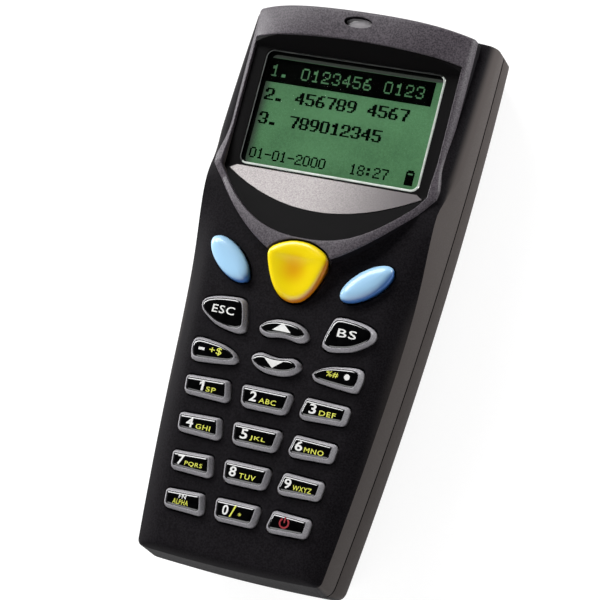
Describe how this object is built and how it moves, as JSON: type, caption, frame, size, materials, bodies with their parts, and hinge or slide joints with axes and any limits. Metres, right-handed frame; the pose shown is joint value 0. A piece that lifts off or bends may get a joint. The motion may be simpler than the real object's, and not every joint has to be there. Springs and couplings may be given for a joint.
{
  "type": "portable barcode data terminal",
  "caption": "Hand-held barcode data terminal with a framed dot-matrix display, a sprung keypad, a scan window in its end and a battery door that slides off its back.",
  "frame": {"origin": "middle of the case's box, on the surface that its back rests on", "axes": "+X to the right across the face, +Y towards the scanner end, +Z out of the face"},
  "size_m": [0.0558, 0.122, 0.0324],
  "materials": {
    "case_plastic": "fine moulded texture",
    "head_plastic": "fine moulded texture with a faint metallic flake",
    "bezel_plastic": "satin black",
    "black_key": "glossy black with a silver-grey rim and printed symbols",
    "yellow_key": "glossy yellow",
    "blue_key": "glossy light blue",
    "seal": "matte silicone",
    "plate_metal": "satin anodised",
    "window": "clear polished window",
    "display": "green reflective dot matrix",
    "light_box": "milky white",
    "light_pipe": "frosted grey",
    "dark_window": "dark red filter",
    "board": "green solder mask",
    "chassis_metal": "die-cast",
    "contact_metal": "nickel-plated",
    "cell_sleeve": "plain sleeve",
    "screw_steel": "zinc-plated"
  },
  "bodies": {
    "case": {"front_cover": "case_plastic", "rear_cover": "case_plastic", "seam_gasket": "seal", "head_frame": "head_plastic", "display_bezel": "bezel_plastic", "name_plate": "plate_metal", "display_lens": "window", "lcd_panel": "display", "lcd_backlight": "light_box", "status_light": "light_pipe", "status_led": "light_box", "main_board": "board", "keypad_mat": "seal", "key_domes": "contact_metal", "buzzer": "bezel_plastic", "backup_cell": "contact_metal", "scan_window": "dark_window", "scan_chassis": "chassis_metal", "scan_lens": "bezel_plastic", "scan_sensor": "board", "ir_window": "dark_window", "ir_module": "bezel_plastic", "aaa_cells": "cell_sleeve", "cell_springs": "contact_metal", "cell_plates": "contact_metal", "housing_screws": "screw_steel"},
    "battery_door": {"battery_door": "case_plastic"},
    "key_scan": {"key_scan": "yellow_key"},
    "key_left": {"key_left": "blue_key"},
    "key_right": {"key_right": "blue_key"},
    "key_esc": {"key_esc": "black_key"},
    "key_back": {"key_back": "black_key"},
    "key_up": {"key_up": "black_key"},
    "key_down": {"key_down": "black_key"},
    "key_minus": {"key_minus": "black_key"},
    "key_point": {"key_point": "black_key"},
    "key_1": {"key_1": "black_key"},
    "key_2": {"key_2": "black_key"},
    "key_3": {"key_3": "black_key"},
    "key_4": {"key_4": "black_key"},
    "key_5": {"key_5": "black_key"},
    "key_6": {"key_6": "black_key"},
    "key_7": {"key_7": "black_key"},
    "key_8": {"key_8": "black_key"},
    "key_9": {"key_9": "black_key"},
    "key_fn": {"key_fn": "black_key"},
    "key_0": {"key_0": "black_key"},
    "key_power": {"key_power": "black_key"}
  },
  "joints": [
    {"name": "battery_door_slide", "type": "slide", "parent": "case", "child": "battery_door", "axis": [0, -1, 0], "range_m": [0, 0.062]},
    {"name": "key_scan_press", "type": "slide", "parent": "case", "child": "key_scan", "axis": [0, 0, -1], "range_m": [0, 0.001], "stiffness_N_per_m": 300},
    {"name": "key_left_press", "type": "slide", "parent": "case", "child": "key_left", "axis": [0, 0, -1], "range_m": [0, 0.001], "stiffness_N_per_m": 300},
    {"name": "key_right_press", "type": "slide", "parent": "case", "child": "key_right", "axis": [0, 0, -1], "range_m": [0, 0.001], "stiffness_N_per_m": 300},
    {"name": "key_esc_press", "type": "slide", "parent": "case", "child": "key_esc", "axis": [0, 0, -1], "range_m": [0, 0.001], "stiffness_N_per_m": 300},
    {"name": "key_back_press", "type": "slide", "parent": "case", "child": "key_back", "axis": [0, 0, -1], "range_m": [0, 0.001], "stiffness_N_per_m": 300},
    {"name": "key_up_press", "type": "slide", "parent": "case", "child": "key_up", "axis": [0, 0, -1], "range_m": [0, 0.001], "stiffness_N_per_m": 300},
    {"name": "key_down_press", "type": "slide", "parent": "case", "child": "key_down", "axis": [0, 0, -1], "range_m": [0, 0.001], "stiffness_N_per_m": 300},
    {"name": "key_minus_press", "type": "slide", "parent": "case", "child": "key_minus", "axis": [0, 0, -1], "range_m": [0, 0.001], "stiffness_N_per_m": 300},
    {"name": "key_point_press", "type": "slide", "parent": "case", "child": "key_point", "axis": [0, 0, -1], "range_m": [0, 0.001], "stiffness_N_per_m": 300},
    {"name": "key_1_press", "type": "slide", "parent": "case", "child": "key_1", "axis": [0, 0, -1], "range_m": [0, 0.001], "stiffness_N_per_m": 300},
    {"name": "key_2_press", "type": "slide", "parent": "case", "child": "key_2", "axis": [0, 0, -1], "range_m": [0, 0.001], "stiffness_N_per_m": 300},
    {"name": "key_3_press", "type": "slide", "parent": "case", "child": "key_3", "axis": [0, 0, -1], "range_m": [0, 0.001], "stiffness_N_per_m": 300},
    {"name": "key_4_press", "type": "slide", "parent": "case", "child": "key_4", "axis": [0, 0, -1], "range_m": [0, 0.001], "stiffness_N_per_m": 300},
    {"name": "key_5_press", "type": "slide", "parent": "case", "child": "key_5", "axis": [0, 0, -1], "range_m": [0, 0.001], "stiffness_N_per_m": 300},
    {"name": "key_6_press", "type": "slide", "parent": "case", "child": "key_6", "axis": [0, 0, -1], "range_m": [0, 0.001], "stiffness_N_per_m": 300},
    {"name": "key_7_press", "type": "slide", "parent": "case", "child": "key_7", "axis": [0, 0, -1], "range_m": [0, 0.001], "stiffness_N_per_m": 300},
    {"name": "key_8_press", "type": "slide", "parent": "case", "child": "key_8", "axis": [0, 0, -1], "range_m": [0, 0.001], "stiffness_N_per_m": 300},
    {"name": "key_9_press", "type": "slide", "parent": "case", "child": "key_9", "axis": [0, 0, -1], "range_m": [0, 0.001], "stiffness_N_per_m": 300},
    {"name": "key_fn_press", "type": "slide", "parent": "case", "child": "key_fn", "axis": [0, 0, -1], "range_m": [0, 0.001], "stiffness_N_per_m": 300},
    {"name": "key_0_press", "type": "slide", "parent": "case", "child": "key_0", "axis": [0, 0, -1], "range_m": [0, 0.001], "stiffness_N_per_m": 300},
    {"name": "key_power_press", "type": "slide", "parent": "case", "child": "key_power", "axis": [0, 0, -1], "range_m": [0, 0.001], "stiffness_N_per_m": 300}
  ]
}
